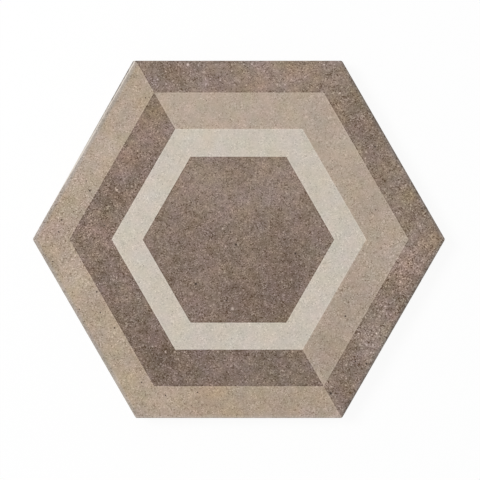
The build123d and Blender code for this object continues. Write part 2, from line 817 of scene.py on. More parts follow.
class NodeSheet:
    """Adds nodes to one node tree and joins them."""

    def __init__(self, tree: bpy.types.NodeTree) -> None:
        """Takes the tree that the nodes go to."""
        self.tree = tree

    def node(self, kind: str, inputs: Mapping[Union[str, int], Feed], **settings: object) -> bpy.types.Node:
        """Adds one node.

        Args:
            kind: The node's type.
            inputs: A value or a socket for each input, by the input's name or number.
            **settings: Properties of the node.

        Returns:
            The new node.
        """
        made = self.tree.nodes.new(kind)
        for name, value in settings.items():
            setattr(made, name, value)
        self.feed(made, inputs)
        return made

    def feed(self, made: bpy.types.Node, inputs: Mapping[Union[str, int], Feed]) -> None:
        """Sets a node's inputs to values, or joins them with sockets.

        Args:
            made: The node.
            inputs: A value or a socket for each input, by the input's name or number.
        """
        for name, feed in inputs.items():
            if isinstance(feed, Socket):
                self.tree.links.new(feed, made.inputs[name])
            else:
                made.inputs[name].default_value = feed

    def math(self, operation: str, a: Feed, b: Feed = 0.0, c: Feed = 0.0) -> Socket:
        """The result of a sum on plain values."""
        return self.node("ShaderNodeMath", {0: a, 1: b, 2: c}, operation=operation).outputs[0]

    def vector(self, operation: str, a: Feed, b: Feed = (0, 0, 0)) -> Socket:
        """The vector result of a sum on vectors."""
        return self.node("ShaderNodeVectorMath", {0: a, 1: b}, operation=operation).outputs[0]

    def scaled(self, vector: Feed, scale: Feed) -> Socket:
        """A vector or colour times a value."""
        return self.node("ShaderNodeVectorMath", {0: vector, 3: scale}, operation="SCALE").outputs[0]

    def dot(self, a: Feed, b: Feed) -> Socket:
        """The dot product of two vectors."""
        return self.node("ShaderNodeVectorMath", {0: a, 1: b}, operation="DOT_PRODUCT").outputs[1]

    def distance(self, a: Feed, b: Feed) -> Socket:
        """The distance between two points."""
        return self.node("ShaderNodeVectorMath", {0: a, 1: b}, operation="DISTANCE").outputs[1]

    def ramp(self, value: Feed, low: Feed, high: Feed,
             at_low: Feed = 0.0, at_high: Feed = 1.0) -> Socket:
        """A soft step from one value to another as the input goes from low to high."""
        inputs = {0: value, 1: low, 2: high, 3: at_low, 4: at_high}
        return self.node("ShaderNodeMapRange", inputs, interpolation_type="SMOOTHSTEP").outputs[0]

    def noise(self, position: Feed, size: float,
              detail: float = 0.0, roughness: float = 0.5) -> Socket:
        """Smooth noise from about -1 to 1 with features of that size, in the unit of the position.

        Args:
            position: The place on the tile in millimetres.
            size: Size of a feature, in the unit of the position.
            detail: How many finer layers it has.
            roughness: Share of each finer layer.

        Returns:
            The socket of the value.
        """
        inputs = {"Vector": position, "Scale": 1 / size, "Detail": detail, "Roughness": roughness}
        value = self.node("ShaderNodeTexNoise", inputs).outputs[0]
        return self.math("MULTIPLY_ADD", value, 2.0, -1.0)

    def mix(self, share: Feed, a: Feed, b: Feed) -> Socket:
        """A blend of two colours."""
        return self.node("ShaderNodeMix", {0: share, 6: a, 7: b}, data_type="RGBA").outputs[2]

    def place(self, effect: "SurfaceEffect", inputs: Mapping[str, Feed]) -> bpy.types.bpy_prop_collection:
        """Places an effect's node group and returns its outputs."""
        return self.node("ShaderNodeGroup", inputs, node_tree=effect.group()).outputs


class SurfaceEffect(ABC):
    """An effect on a surface, kept as one node group that any finish can place."""

    name: ClassVar[str]
    inputs: ClassVar[Mapping[str, float]] = {}
    outputs: ClassVar[Mapping[str, str]] = {}

    @abstractmethod
    def wire(self, sheet: NodeSheet, given: Sockets) -> Mapping[str, Feed]:
        """Adds the effect's nodes.

        Args:
            sheet: Where the nodes go.
            given: The sockets of the group's inputs, Position in millimetres among them.

        Returns:
            The socket for each of the group's outputs.
        """

    def group(self) -> bpy.types.NodeTree:
        """The effect's node group, built when it is first asked for.

        Returns:
            The node group.
        """
        found = bpy.data.node_groups.get(self.name)
        if found:
            return found
        tree = bpy.data.node_groups.new(self.name, "ShaderNodeTree")
        tree.interface.new_socket(name="Position", in_out="INPUT", socket_type="NodeSocketVector")
        for name, default in self.inputs.items():
            port = tree.interface.new_socket(name=name, in_out="INPUT", socket_type="NodeSocketFloat")
            port.default_value = default
        for name, kind in self.outputs.items():
            tree.interface.new_socket(name=name, in_out="OUTPUT", socket_type=kind)
        start = tree.nodes.new("NodeGroupInput")
        end = tree.nodes.new("NodeGroupOutput")
        for name, socket in self.wire(NodeSheet(tree), start.outputs).items():
            tree.links.new(socket, end.inputs[name])
        return tree


class StoneGrain(SurfaceEffect):
    """The sandy grain of the print and its clouds, in four sizes, each with its own strength.

    Strength scales the two finer grains, and Patchy makes them uneven.
    """

    name = "stone_grain"
    inputs = {"Fine": 0.1, "Medium": 0.1, "Coarse": 0.1, "Cloud": 0.1, "Strength": 1.0, "Patchy": 0.0}
    outputs = {"Tone": "NodeSocketFloat", "Height": "NodeSocketFloat"}
    fine_size = 0.45
    fine_peak = 1.5
    fine_height = 0.3
    ragged_size = 0.22
    ragged = 0.3
    patch_size = 5.0
    patch_shift = (0.0, 310.0, 0.0)
    least_strength = 0.3
    sizes = {"Medium": (1.5, 1.0), "Coarse": (4.5, 2.0), "Cloud": (26.0, 3.0)}

    def wire(self, sheet: NodeSheet, given: Sockets) -> Mapping[str, Feed]:
        """Adds up grains of a cell pattern and three sizes of noise.

        Args:
            sheet: Where the nodes go.
            given: The sockets of the group's inputs, Position in millimetres among them.

        Returns:
            The socket for each of the group's outputs.
        """
        position = given["Position"]
        pull = sheet.node("ShaderNodeTexNoise", {"Vector": position, "Scale": 1 / self.ragged_size})
        pull = sheet.scaled(sheet.vector("SUBTRACT", pull.outputs["Color"], (0.5, 0.5, 0.5)), self.ragged)
        place = sheet.vector("ADD", position, pull)
        cells = sheet.node("ShaderNodeTexVoronoi", {"Vector": place, "Scale": 1 / self.fine_size})
        even = sheet.math("SUBTRACT", sheet.dot(cells.outputs["Color"], (2.0, 0.0, 0.0)), 1.0)
        peak = sheet.math("MULTIPLY", even, self.fine_peak)
        fine = sheet.math("MULTIPLY", sheet.math("MULTIPLY", even, even), peak)
        values = {port: sheet.noise(position, size, detail) for port, (size, detail) in self.sizes.items()}
        tone = sheet.math("MULTIPLY", fine, given["Fine"])
        tone = sheet.math("MULTIPLY_ADD", values["Medium"], given["Medium"], tone)
        patch = sheet.noise(sheet.vector("ADD", position, self.patch_shift), self.patch_size, 2.0)
        strength = sheet.math("MULTIPLY_ADD", patch, given["Patchy"], given["Strength"])
        tone = sheet.math("MULTIPLY", tone, sheet.math("MAXIMUM", strength, self.least_strength))
        for port in ("Coarse", "Cloud"):
            tone = sheet.math("MULTIPLY_ADD", values[port], given[port], tone)
        height = sheet.math("MULTIPLY_ADD", even, self.fine_height, values["Medium"])
        return {"Tone": tone, "Height": height}


class TintPatches(SurfaceEffect):
    """Faint warm and olive patches, as a colour that multiplies the print. Red and Yellow add to them."""

    name = "tint_patches"
    inputs = {"Warm": 0.04, "Olive": 0.04, "Red": 0.0, "Yellow": 0.0}
    outputs = {"Tint": "NodeSocketColor"}
    warm_size = 9.0
    olive_size = 12.0
    olive_shift = (170.0, 60.0, 0.0)

    def wire(self, sheet: NodeSheet, given: Sockets) -> Mapping[str, Feed]:
        """Shifts red by one noise and blue by another.

        Args:
            sheet: Where the nodes go.
            given: The sockets of the group's inputs, Position in millimetres among them.

        Returns:
            The socket for each of the group's outputs.
        """
        moved = sheet.vector("ADD", given["Position"], self.olive_shift)
        warm = sheet.noise(given["Position"], self.warm_size, 2.0)
        olive = sheet.noise(moved, self.olive_size, 2.0)
        red = sheet.math("MULTIPLY_ADD", warm, given["Warm"], given["Red"])
        red = sheet.math("ADD", red, 1.0)
        dull = sheet.math("MULTIPLY_ADD", olive, given["Olive"], given["Yellow"])
        blue = sheet.math("SUBTRACT", 1.0, dull)
        colour = sheet.node("ShaderNodeCombineColor", {"Red": red, "Green": 1.0, "Blue": blue})
        return {"Tint": colour.outputs[0]}


@dataclass(frozen=True)
class Pinholes(SurfaceEffect):
    """Small round specks, spread by chance over a flat face or, in three dimensions, over any surface."""

    dimensions: str = "2D"
    inputs: ClassVar[Mapping[str, float]] = {"Spacing": 3.0, "Radius": 0.3, "Chance": 0.5}
    outputs: ClassVar[Mapping[str, str]] = {"Mask": "NodeSocketFloat"}
    least_size: ClassVar[float] = 0.5
    core: ClassVar[float] = 0.55

    @property
    def name(self) -> str:
        """The group's name, after its dimensions."""
        return "pinholes_" + self.dimensions

    def wire(self, sheet: NodeSheet, given: Sockets) -> Mapping[str, Feed]:
        """Keeps the middle of some of the cells of a cell pattern.

        Args:
            sheet: Where the nodes go.
            given: The sockets of the group's inputs, Position in millimetres among them.

        Returns:
            The socket for each of the group's outputs.
        """
        scale = sheet.math("DIVIDE", 1.0, given["Spacing"])
        spread = {"Vector": given["Position"], "Scale": scale}
        cells = sheet.node("ShaderNodeTexVoronoi", spread, voronoi_dimensions=self.dimensions)
        away = sheet.math("MULTIPLY", cells.outputs["Distance"], given["Spacing"])
        chance = sheet.dot(cells.outputs["Color"], (1.0, 0.0, 0.0))
        size = sheet.math("MULTIPLY", given["Radius"], sheet.math("ADD", chance, self.least_size))
        dot = sheet.ramp(away, sheet.math("MULTIPLY", size, self.core), size, 1.0, 0.0)
        lot = sheet.dot(cells.outputs["Color"], (0.0, 1.0, 0.0))
        chosen = sheet.math("LESS_THAN", lot, given["Chance"])
        return {"Mask": sheet.math("MULTIPLY", dot, chosen)}


class HexagonReach(SurfaceEffect):
    """The apothem of the hexagon through a point, and the distance from the print's diagonal."""

    name = "hexagon_reach"
    outputs = {"Reach": "NodeSocketFloat", "Split": "NodeSocketFloat"}

    def wire(self, sheet: NodeSheet, given: Sockets) -> Mapping[str, Feed]:
        """Takes the largest of three distances, across the three pairs of sides.

        Args:
            sheet: Where the nodes go.
            given: The sockets of the group's inputs, Position in millimetres among them.

        Returns:
            The socket for each of the group's outputs.
        """
        across = []
        for normal in FLAT_NORMALS[:3]:
            value = sheet.dot(given["Position"], (normal[0], normal[1], 0.0))
            across.append(sheet.math("ABSOLUTE", value))
        reach = sheet.math("MAXIMUM", sheet.math("MAXIMUM", across[0], across[1]), across[2])
        return {"Reach": reach, "Split": across[0]}


@dataclass(frozen=True)
class BandLines(SurfaceEffect):
    """The thin line where two shades of the print meet, 1 on the line and 0 beside it."""

    pattern: PrintPattern
    name: ClassVar[str] = "band_lines"
    inputs: ClassVar[Mapping[str, float]] = {"Width": 0.5}
    outputs: ClassVar[Mapping[str, str]] = {"Line": "NodeSocketFloat"}
    far: ClassVar[float] = 100.0
    waver: ClassVar[float] = 0.12
    waver_size: ClassVar[float] = 0.9

    def wire(self, sheet: NodeSheet, given: Sockets) -> Mapping[str, Feed]:
        """Takes the distance to the nearest line of the print.

        Args:
            sheet: Where the nodes go.
            given: The sockets of the group's inputs, Position in millimetres among them.

        Returns:
            The socket for each of the group's outputs.
        """
        reach = sheet.place(HexagonReach(), {"Position": given["Position"]})
        shift = tuple(-value / MM for value in self.pattern.centre_shift)
        moved = sheet.vector("ADD", given["Position"], (*shift, 0.0))
        inner = sheet.place(HexagonReach(), {"Position": moved})
        nearest = self.far
        pairs = ((inner, self.pattern.centre), (reach, self.pattern.cream), (reach, self.pattern.middle))
        for hexagon, line in pairs:
            away = sheet.math("ABSOLUTE", sheet.math("SUBTRACT", hexagon["Reach"], line / MM))
            nearest = sheet.math("MINIMUM", nearest, away)
        inside = sheet.math("LESS_THAN", reach["Reach"], self.pattern.cream / MM)
        split = sheet.math("MULTIPLY_ADD", inside, self.far, reach["Split"])
        nearest = sheet.math("MINIMUM", nearest, split)
        waver = sheet.noise(given["Position"], self.waver_size)
        nearest = sheet.math("MULTIPLY_ADD", waver, self.waver, nearest)
        return {"Line": sheet.ramp(nearest, 0.0, given["Width"], 1.0, 0.0)}


@dataclass(frozen=True)
class ArrisWear(SurfaceEffect):
    """The end of the print at the edge.

    Bare shows the body where the print stops short, and Rim is a line of painted shade outside the print of
    the flared side. Margin is the strip of the print beside the edge, Pale is where that strip has lost its
    colour, most of all on the four slanting sides, and Lip is a lighter line along the side towards -Y. Ends
    are where a change starts and ends: those of slant as shares of the apothem, the others in millimetres.
    """

    form: TileForm
    name: ClassVar[str] = "arris_wear"
    inputs: ClassVar[Mapping[str, float]] = {"Reach": 0.0, "Ragged": 0.25}
    outputs: ClassVar[Mapping[str, str]] = {
        port: "NodeSocketFloat" for port in ("Bare", "Rim", "Margin", "Pale", "Lip")}
    softness: ClassVar[float] = 0.12
    ragged_size: ClassVar[float] = 1.3
    margin_ends: ClassVar[tuple[float, float]] = (0.8, 2.8)
    slant_ends: ClassVar[tuple[float, float]] = (0.5, 0.64)
    least_slant: ClassVar[float] = 0.3
    lip_outer: ClassVar[tuple[float, float]] = (0.5, 0.7)
    lip_inner: ClassVar[tuple[float, float]] = (1.1, 1.4)
    flared_from: ClassVar[float] = 0.56
    flare_ends: ClassVar[tuple[float, float]] = (0.35, 0.95)
    rim_ends: ClassVar[tuple[float, float]] = (0.35, 0.7)
    rim_waver: ClassVar[float] = 0.5
    rim_waver_size: ClassVar[float] = 0.8
    rim_waver_shift: ClassVar[tuple[float, float, float]] = (0.0, 0.0, 40.0)
    thin_size: ClassVar[float] = 3.0
    thin_ends: ClassVar[tuple[float, float]] = (-0.35, 0.2)
    least_rim: ClassVar[float] = 0.55

    def wire(self, sheet: NodeSheet, given: Sockets) -> Mapping[str, Feed]:
        """Compares the distance from the edge with the reach of the wear, made ragged by noise.

        Args:
            sheet: Where the nodes go.
            given: The sockets of the group's inputs, Position in millimetres among them.

        Returns:
            The socket for each of the group's outputs.
        """
        position = given["Position"]
        apothem = self.form.apothem / MM
        hexagon = sheet.place(HexagonReach(), {"Position": position})
        inward = sheet.math("SUBTRACT", apothem, hexagon["Reach"])
        ragged = sheet.noise(position, self.ragged_size, 2.0)
        uneven = sheet.math("MULTIPLY_ADD", ragged, given["Ragged"], inward)
        low = sheet.math("SUBTRACT", given["Reach"], self.softness)
        high = sheet.math("ADD", given["Reach"], self.softness)
        leftward = sheet.dot(position, (-1.0, 0.0, 0.0))
        margin = sheet.ramp(inward, *self.margin_ends, 1.0, 0.0)
        ends = [apothem * share for share in self.slant_ends]
        slanting = sheet.ramp(sheet.math("ABSOLUTE", leftward), *ends, self.least_slant, 1.0)
        # A lighter line along the side towards -Y, at the top of the arris.
        to_foot = sheet.math("ADD", sheet.dot(position, (0.0, 1.0, 0.0)), apothem)
        to_foot = sheet.math("MULTIPLY_ADD", ragged, given["Ragged"], to_foot)
        outer = sheet.ramp(to_foot, *self.lip_outer)
        inner = sheet.ramp(to_foot, *self.lip_inner, 1.0, 0.0)
        return {
            "Bare": sheet.ramp(uneven, low, high, 1.0, 0.0),
            "Rim": self.rim(sheet, position, inward, leftward),
            "Margin": margin,
            "Pale": sheet.math("MULTIPLY", margin, slanting),
            "Lip": sheet.math("MULTIPLY", outer, inner),
        }

    def rim(self, sheet: NodeSheet, position: Feed, inward: Feed, leftward: Feed) -> Socket:
        """Adds the line of painted shade outside the print of the flared side.

        Args:
            sheet: Where the nodes go.
            position: The place on the tile in millimetres.
            inward: The distance from the edge of the regular hexagon.
            leftward: The distance from the middle towards -X.

        Returns:
            The mask of the line.
        """
        up = sheet.dot(position, (0.0, MM / self.form.apothem, 0.0))
        on_side = sheet.math("GREATER_THAN", leftward, self.form.apothem / MM * self.flared_from)
        full = self.form.flare / MM * FLAT_NORMALS[0][0]
        flare = sheet.math("MULTIPLY", sheet.math("MAXIMUM", up, 0.0), full)
        flare = sheet.math("MULTIPLY", flare, on_side)
        # Noise makes the edge of the painted shade ragged.
        rim_waver = sheet.noise(sheet.vector("ADD", position, self.rim_waver_shift), self.rim_waver_size, 3.0)
        edge = sheet.math("MULTIPLY_ADD", rim_waver, self.rim_waver, sheet.math("ADD", inward, flare))
        line = sheet.ramp(edge, *self.rim_ends, 1.0, 0.0)
        thin = sheet.ramp(sheet.noise(position, self.thin_size, 3.0), *self.thin_ends, self.least_rim, 1.0)
        line = sheet.math("MULTIPLY", line, thin)
        return sheet.math("MULTIPLY", line, sheet.ramp(flare, *self.flare_ends))


@dataclass(frozen=True)
class Patch:
    """A soft patch of the print, by its place and radius in millimetres and its change of tone."""

    x: float
    y: float
    radius: float
    tone: float

    def scaled(self, factor: float) -> "Patch":
        """The same patch with its tone times a factor."""
        return Patch(self.x, self.y, self.radius, self.tone * factor)


def patches(*rows: tuple[float, float, float, float]) -> tuple[Patch, ...]:
    """Patches from rows of x, y, radius and tone."""
    return tuple(Patch(*row) for row in rows)


@dataclass(frozen=True)
class SoftPatches(SurfaceEffect):
    """Larger light and dark patches of one part of the print."""

    label: str
    patches: Sequence[Patch]
    pull: float = 5.0
    outputs: ClassVar[Mapping[str, str]] = {"Tone": "NodeSocketFloat"}
    pull_size: ClassVar[float] = 9.0
    pull_shift: ClassVar[tuple[float, float, float]] = (90.0, 0.0, 0.0)
    spread: ClassVar[float] = 1.6

    @property
    def name(self) -> str:
        """The group's name, after the part of the print."""
        return "patches_" + self.label

    def wire(self, sheet: NodeSheet, given: Sockets) -> Mapping[str, Feed]:
        """Adds up the patches, with their outlines pulled about by noise.

        Args:
            sheet: Where the nodes go.
            given: The sockets of the group's inputs, Position in millimetres among them.

        Returns:
            The socket for each of the group's outputs.
        """
        moved = sheet.vector("ADD", given["Position"], self.pull_shift)
        shift_x = sheet.noise(given["Position"], self.pull_size, 2.0)
        shift_y = sheet.noise(moved, self.pull_size, 2.0)
        shift = sheet.node("ShaderNodeCombineXYZ", {0: shift_x, 1: shift_y}).outputs[0]
        place = sheet.vector("ADD", given["Position"], sheet.scaled(shift, self.pull))
        place = sheet.vector("MULTIPLY", place, (1.0, 1.0, 0.0))
        tone = 0.0
        for patch in self.patches:
            away = sheet.distance(place, (patch.x, patch.y, 0.0))
            share = sheet.ramp(away, 0.0, patch.radius * self.spread, patch.tone, 0.0)
            tone = sheet.math("ADD", share, tone)
        return {"Tone": tone}


# Finishes


def linear(colour: Sequence[float]) -> tuple[float, float, float, float]:
    """A colour given as 0 to 255 on the screen, as the renderer counts it."""
    shares = [channel / 255 for channel in colour]
    return (*[s / 12.92 if s <= 0.04045 else ((s + 0.055) / 1.055) ** 2.4 for s in shares], 1.0)


@dataclass(frozen=True)
class Skin:
    """What a finish gives its shader: the sockets of its colour, its roughness and its bump's height."""

    colour: Socket
    roughness: Socket
    height: Socket


class Finish(ABC):
    """A material of the tile."""

    label: str
    specular: float
    bump_strength: float
    bump_depth: float

    @abstractmethod
    def skin(self, sheet: NodeSheet, position: Socket) -> Skin:
        """Adds the finish's nodes.

        Args:
            sheet: Where the nodes go.
            position: The place on the tile in millimetres.

        Returns:
            What the shader takes.
        """

    def material(self) -> bpy.types.Material:
        """Builds the material.

        Returns:
            The material.
        """
        made = bpy.data.materials.new(self.label)
        made.use_nodes = True
        sheet = NodeSheet(made.node_tree)
        coordinates = sheet.node("ShaderNodeTexCoord", {})
        skin = self.skin(sheet, sheet.scaled(coordinates.outputs["Object"], 1 / MM))
        relief = {"Height": skin.height, "Strength": self.bump_strength, "Distance": self.bump_depth}
        normal = sheet.node("ShaderNodeBump", relief).outputs[0]
        shader = made.node_tree.nodes["Principled BSDF"]
        shader.inputs["Specular IOR Level"].default_value = self.specular
        sheet.feed(shader, {"Base Color": skin.colour, "Roughness": skin.roughness, "Normal": normal})
        return made


@dataclass(frozen=True)
class Body:
    """The bare fired body of the arris, sides and back, and painted shade for the pits and the flared side.
    """

    colour: tuple[int, int, int] = (200, 189, 174)
    chipped: tuple[int, int, int] = (208, 200, 190)
    # Colour of the line of painted shade beside the flared side, not of the body.
    painted_rim_shade: tuple[int, int, int] = (94, 83, 74)
    speck: tuple[int, int, int] = (120, 104, 90)
    # Pits are painted this dark as shade in the holes, darker than the body.
    pit: tuple[int, int, int] = (52, 37, 27)


@dataclass(frozen=True)
class Marks:
    """What one shade has in places of its own, after the photograph.

    The tones are steps of 1 in 255 on the screen, lighter, redder or yellower. Those of worn are how many
    millimetres of the edge have lost the print.
    """

    clouds: Sequence[Patch] = ()
    reds: Sequence[Patch] = ()
    yellows: Sequence[Patch] = ()
    flecks: Sequence[Patch] = ()
    worn: Sequence[Patch] = ()


GRAINY = patches(
    (-85, 5, 26, 0.35), (76, -25, 34, 0.35), (0, -20, 34, 0.12), (0, 80, 44, -0.2),
    (-60, 70, 24, -0.15), (70, 45, 24, -0.1), (0, -88, 34, -0.15),
)


@dataclass(frozen=True)
class PrintedShade(Finish):
    """One shade of the print on the matte face.

    Tones are shares of the shade, and sizes on the tile are millimetres. Pinholes are the small dark dots and
    flecks the small light ones.
    """

    label: str
    form: TileForm
    pattern: PrintPattern
    colour: tuple[int, int, int]
    grain: Mapping[str, float]
    patchy: float
    warm: float
    olive: float
    line: float
    marks: Marks = Marks()
    body: Body = Body()
    roughness: float = 0.62
    specular: float = 0.35
    bump_strength: float = 0.5
    bump_depth: float = 0.03 * MM
    uneven_shine: float = 0.05
    uneven_body: float = 0.04
    line_width: float = 0.9
    pinhole_tone: float = -0.45
    pinhole_chance: float = 0.16
    pinhole_height: float = -1.5
    pit_shade_cover: float = 0.9
    fleck_tone: float = 0.95
    fleck_chance: float = 0.4
    fleck_spacing: float = 3.4
    fleck_radius: float = 0.42
    fleck_pull: float = 0.3
    fleck_shift: tuple[float, float, float] = (40.3, 71.9, 0.0)
    margin_tone: float = -0.1
    margin_pale: float = 0.3
    lip_tone: float = 0.22
    print_overhang: float = 0.3
    darkest: float = -0.8
    grey_weights: tuple[float, float, float] = (0.25, 0.6, 0.15)
    screen_step: float = 2.3

    def placed(self, sheet: NodeSheet, position: Socket, kind: str,
               marks: Sequence[Patch], pull: float = 5.0) -> Feed:
        """Adds one kind of marks.

        Args:
            sheet: Where the nodes go.
            position: The place on the tile in millimetres.
            kind: What the marks change.
            marks: The marks.
            pull: How far noise moves their outlines, in millimetres.

        Returns:
            Their tone, as it is given in the marks.
        """
        if not marks:
            return 0.0
        effect = SoftPatches(self.label + "_" + kind, marks, pull)
        return sheet.place(effect, {"Position": position})["Tone"]

    def as_shares(self, marks: Sequence[Patch]) -> list[Patch]:
        """The marks with their steps on the screen as shares of the shade."""
        share = self.screen_step * 3 / sum(self.colour)
        return [patch.scaled(share) for patch in marks]

    def skin(self, sheet: NodeSheet, position: Socket) -> Skin:
        """Adds the print, its grain, the painted shade of pits and flared side, and the bare body at the
        edge.

        Args:
            sheet: Where the nodes go.
            position: The place on the tile in millimetres.

        Returns:
            What the shader takes.
        """
        spot = {"Position": position}
        grainy = sheet.place(SoftPatches("grainy", GRAINY), spot)["Tone"]
        strength = {"Strength": sheet.math("ADD", grainy, 1.0), "Patchy": self.patchy}
        grain = sheet.place(StoneGrain(), {**spot, **self.grain, **strength})
        holes = sheet.place(Pinholes(), {**spot, "Chance": self.pinhole_chance})["Mask"]
        worn = self.placed(sheet, position, "edge", self.marks.worn)
        reach = sheet.math("SUBTRACT", worn, self.print_overhang)
        edge = sheet.place(ArrisWear(self.form), {**spot, "Reach": reach})
        tone = self.tone(sheet, position, grain["Tone"])
        for mask, change in ((edge["Margin"], self.margin_tone), (edge["Lip"], self.lip_tone),
                             (holes, self.pinhole_tone)):
            tone = sheet.math("MULTIPLY_ADD", mask, change, tone)
        colour = self.print_colour(sheet, position, sheet.math("MAXIMUM", tone, self.darkest))
        pale = sheet.math("MULTIPLY", edge["Pale"], self.margin_pale)
        colour = sheet.mix(pale, colour, sheet.dot(colour, self.grey_weights))
        # Painted shade darkens the pits, by how deep in a pit each point lies.
        pit = sheet.node("ShaderNodeAttribute", {}, attribute_name="pit").outputs["Fac"]
        colour = sheet.mix(sheet.ramp(pit, 0.0, 1.0, 0.0, self.pit_shade_cover), colour, linear(self.body.pit))
        body_tone = sheet.math("MULTIPLY_ADD", grain["Height"], self.uneven_body, 1.0)
        body = sheet.scaled(linear(self.body.chipped)[:3], body_tone)
        colour = sheet.mix(edge["Bare"], colour, body)
        # A line of painted shade outside the print of the flared side.
        colour = sheet.mix(edge["Rim"], colour, linear(self.body.painted_rim_shade))
        roughness = sheet.math("MULTIPLY_ADD", grain["Height"], self.uneven_shine, self.roughness)
        height = sheet.math("MULTIPLY_ADD", holes, self.pinhole_height, grain["Height"])
        return Skin(colour, roughness, height)

    def tone(self, sheet: NodeSheet, position: Socket, grain: Feed) -> Socket:
        """Adds up what makes the print lighter or darker away from its edge.

        Args:
            sheet: Where the nodes go.
            position: The place on the tile in millimetres.
            grain: The tone of the grain.

        Returns:
            The change of tone, as a share of the shade.
        """
        clouds = self.placed(sheet, position, "clouds", self.as_shares(self.marks.clouds))
        placed = self.placed(sheet, position, "flecks", self.as_shares(self.marks.flecks), self.fleck_pull)
        lines = sheet.place(BandLines(self.pattern), {"Position": position, "Width": self.line_width})
        aside = sheet.vector("ADD", position, self.fleck_shift)
        size = {"Spacing": self.fleck_spacing, "Radius": self.fleck_radius, "Chance": self.fleck_chance}
        flecks = sheet.place(Pinholes(), {"Position": aside, **size})
        tone = sheet.math("ADD", sheet.math("ADD", grain, clouds), placed)
        tone = sheet.math("MULTIPLY_ADD", flecks["Mask"], self.fleck_tone, tone)
        return sheet.math("MULTIPLY_ADD", lines["Line"], self.line, tone)

    def print_colour(self, sheet: NodeSheet, position: Socket, tone: Feed) -> Socket:
        """Adds the colour of the print.

        Args:
            sheet: Where the nodes go.
            position: The place on the tile in millimetres.
            tone: The change of tone, as a share of the shade.

        Returns:
            The tinted shade with its change of tone, which shifts every channel by as many steps.
        """
        reds = self.placed(sheet, position, "reds", self.as_shares(self.marks.reds))
        yellows = self.placed(sheet, position, "yellows", self.as_shares(self.marks.yellows))
        shift = {"Warm": self.warm, "Olive": self.olive, "Red": reds, "Yellow": yellows}
        tint = sheet.place(TintPatches(), {"Position": position, **shift})["Tint"]
        level = sum(self.colour) / 3
        weights = tuple(level / channel for channel in self.colour)
        ink = sheet.vector("ADD", sheet.scaled(weights, tone), (1.0, 1.0, 1.0))
        return sheet.vector("MULTIPLY", sheet.vector("MULTIPLY", linear(self.colour)[:3], tint), ink)


@dataclass(frozen=True)
class FiredSide(Finish):
    """The unglazed sides, with the upright marks of the press and stray specks of the print.

    The specks are fewest up to speck_from, in millimetres above the foot, and most at the face.
    """

    form: TileForm
    label: str = "fired_side"
    body: Body = Body()
    roughness: float = 0.74
    specular: float = 0.3
    bump_strength: float = 0.7
    bump_depth: float = 0.06 * MM
    uneven_shine: float = 0.06
    grain: ClassVar[Mapping[str, float]] = {"Fine": 0.1, "Medium": 0.08, "Coarse": 0.08, "Cloud": 0.06}
    specks: ClassVar[Mapping[str, float]] = {"Spacing": 1.1, "Radius": 0.22, "Chance": 0.45}
    speck_from: float = 5.5
    speck_cover: tuple[float, float] = (0.12, 0.85)
    mark_stretch: tuple[float, float, float] = (1.0, 1.0, 0.12)
    mark_size: float = 0.9
    mark_tone: float = 0.06
    mark_height: float = 0.8
    foot_tone: float = -0.08
    foot_share: float = 1.3

    def skin(self, sheet: NodeSheet, position: Socket) -> Skin:
        """Adds grain, drag marks and specks that thin out below the face.

        Args:
            sheet: Where the nodes go.
            position: The place on the tile in millimetres.

        Returns:
            What the shader takes.
        """
        grain = sheet.place(StoneGrain(), {"Position": position, **self.grain})
        marks = sheet.noise(sheet.vector("MULTIPLY", position, self.mark_stretch), self.mark_size, 2.0)
        specks = sheet.place(Pinholes("3D"), {"Position": position, **self.specks})["Mask"]
        height_mm = sheet.dot(position, (0.0, 0.0, 1.0))
        near_face = sheet.ramp(height_mm, self.speck_from, self.form.thickness / MM, *self.speck_cover)
        tone = sheet.math("MULTIPLY_ADD", marks, self.mark_tone, grain["Tone"])
        # The sides turn darker towards the foot, over the bevel.
        foot = self.form.bevel_height / MM * self.foot_share
        low = sheet.ramp(height_mm, 0.0, foot, self.foot_tone, 0.0)
        tone = sheet.math("ADD", sheet.math("ADD", tone, low), 1.0)
        colour = sheet.scaled(linear(self.body.colour)[:3], tone)
        colour = sheet.mix(sheet.math("MULTIPLY", specks, near_face), colour, linear(self.body.speck))
        roughness = sheet.math("MULTIPLY_ADD", grain["Height"], self.uneven_shine, self.roughness)
        height = sheet.math("MULTIPLY_ADD", marks, self.mark_height, grain["Height"])
        return Skin(colour, roughness, height)


